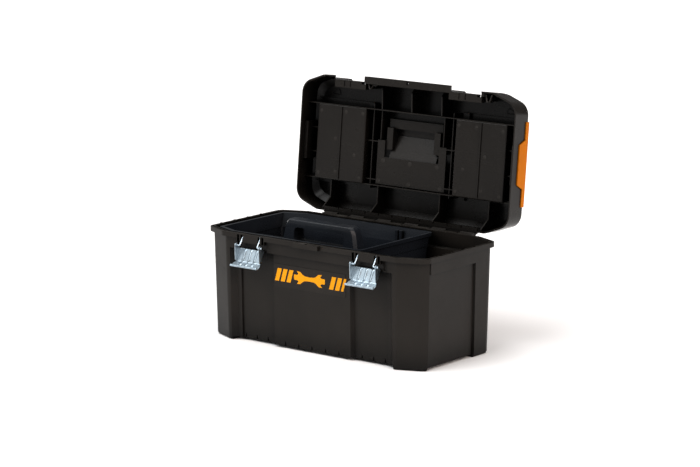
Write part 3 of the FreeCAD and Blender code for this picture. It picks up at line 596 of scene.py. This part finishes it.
def add_label_graphic():
    """Generic amber print: a spanner laid between slanted bars, with no lettering."""
    def face_y(z):
        return -105.0 - 3.0 * z / 166.0 - 0.52

    def place(x, z, depth):
        return tub(x, face_y(z) - depth, z)

    parts = []
    low, high = PRINT_LOW, PRINT_HIGH
    for start, width in BARS:
        outline = [(start, low), (start + width, low), (start + width, high), (start, high)]
        outline = [(x + (z - low) / (high - low) * PRINT_LEAN - 2, z) for x, z in outline]
        parts.append(prism(outline, PRINT_THICK, place))
    parts.append(prism(spanner_outline(low, high), PRINT_THICK, place))
    made = piece("label_graphic", *gather(parts), "tub", "ink")


def spanner_outline(low, high):
    """A double-ended spanner lying along the label, drawn half by half."""
    middle = (low + high) / 2
    half = (high - low) / 2
    end = [
        (34.0, 3.4), (33.0, 4.8), (27.0, 4.6), (24.0, 6.6), (27.6, half), (20.0, half - 0.6),
        (14.6, 6.2), (10.0, 4.2), (0.0, 3.6),
    ]
    top = [(SPANNER_X + x, middle + z) for x, z in end]
    top += [(SPANNER_X - x, middle + z) for x, z in reversed(end[:-1])]
    bottom = [(SPANNER_X - x, middle - z) for x, z in end]
    bottom += [(SPANNER_X + x, middle - z) for x, z in reversed(end[:-1])]
    return top + bottom


# ---------------------------------------------------------------- moulded details
WELL_MARKS = ((107, 58), (145, -58), (107, -58), (121, 18), (162, 52), (201, -56), (201, 57), (166, -8))
WELL_FLOOR = 16.0
PLATE_FACE = 25.5
PLATE_MARKS = ((-62, 22), (-2, 22), (58, 22), (-70, 59), (-2, 59), (67, 59))
CORNER_LOOP = ((-196.6, -91.1), (-188.4, -95.7), (-183.1, -84.3), (-204.8, -86.0), (-196.6, -91.1))
NUB_PROFILE = ((1.9, -0.2), (1.9, 0.2), (1.5, 0.7), (0.8, 0.95), (0.1, 1.0))
CLIP_PATHS = (
    ((-86.8, -114.5), (-84.8, -105.6), (-81.7, -104.6), (-76.2, -111.8), (-70.2, -111.6), (-66.0, -114.5)),
    ((169.6, -119.5), (172.3, -105.0), (177.0, -104.4), (183.5, -119.0)),
)


def eject_mark(x, y, h, radius):
    """Shallow ring left by an ejector pin on a face inside the lid."""
    def place(u, v, depth):
        return lid(x + u, y + v, h - depth)
    return lathe([
        (radius, -0.2), (radius, 0.16), (radius - 0.5, 0.26), (radius - 1.0, 0.10), (radius * 0.3, 0.08),
    ], place)


def add_eject_marks():
    parts = []
    for side in (-1, 1):
        for x, y in WELL_MARKS:
            parts.append(eject_mark(side * x, y, WELL_FLOOR, 3.6))
    for x, y in PLATE_MARKS:
        parts.append(eject_mark(x, y, PLATE_FACE, 4.4))
    piece("ejector_marks", *gather(parts), "lid", "marks", 40.0)


def ribbon(path, low, high):
    """A thin upright strip in the lid along (x, y) points, from one height to another."""
    centre = [lid(x, y, low) for x, y in path]
    rounded = bend(centre, 2.0, 4)
    rise = lid(0, 0, high) - lid(0, 0, low)
    points = rounded + [point + rise for point in rounded]
    count = len(rounded)
    return points, [(i, i + 1, count + i + 1, count + i) for i in range(count - 1)]


def add_lid_clips():
    """Folded clip ribs behind the lip and the keeper loops beside each latch seat."""
    parts = [ribbon(path, 1.0, 14.0) for path in CLIP_PATHS]
    made = piece("lip_clips", *gather(parts), "lid", "lid_plastic", 50.0)
    sheet = made.modifiers.new("sheet", "SOLIDIFY")
    sheet.thickness = 1.3 * MM
    sheet.offset = 0.0


def add_corner_rims():
    """Raised triangular rims moulded inside the lid's two front corners."""
    parts = []
    for side in (-1, 1):
        path = [lid(side * x, y, 47.6) for x, y in CORNER_LOOP]
        parts.append(tube(bend(path, 3.0), 0.8, 10))
    piece("corner_rims", *gather(parts), "lid", "lid_plastic", 60.0)


def add_flap_nubs():
    """Two small finger bumps on each cover's side flap."""
    for name, side in (("left", -1), ("right", 1)):
        parts = []
        for centre in (-9.0, 7.0):
            def place(u, v, depth):
                return lid(side * (237.9 + depth), centre + u, 18.4 + v)
            parts.append(lathe(NUB_PROFILE, place, 20))
        made = piece(name + "_cover_nubs", *gather(parts), name + "_cover", "cover_plastic", 60.0)


def main():
    add_camera()
    add_studio()
    add_floor()
    dress_node("base_tub", "tub_plastic", 0.7)
    dress_node("lid_shell", "lid_plastic", 0.6)
    dress_node("handle_retainer", "lid_plastic", 0.5)
    dress_node("carry_handle", "handle_plastic", 0.8)
    dress_node("tote_tray", "tray_plastic", 0.7, 0.0)
    dress_node("left_organiser_cover", "cover_plastic", 0.9)
    dress_node("right_organiser_cover", "cover_plastic", 0.9)
    dress_node("hinge_pin", "hinge_steel", 0.3)
    dress_node("front_label", "label_film", 0.08)
    for side, mid in (("left", -LATCH_X), ("right", LATCH_X)):
        add_lever(side + "_latch_lever", side + "_lever", mid)
        add_bail(side + "_latch_bail", side + "_bail", mid)
    add_label_graphic()
    add_eject_marks()
    add_lid_clips()
    add_corner_rims()
    add_flap_nubs()


main()
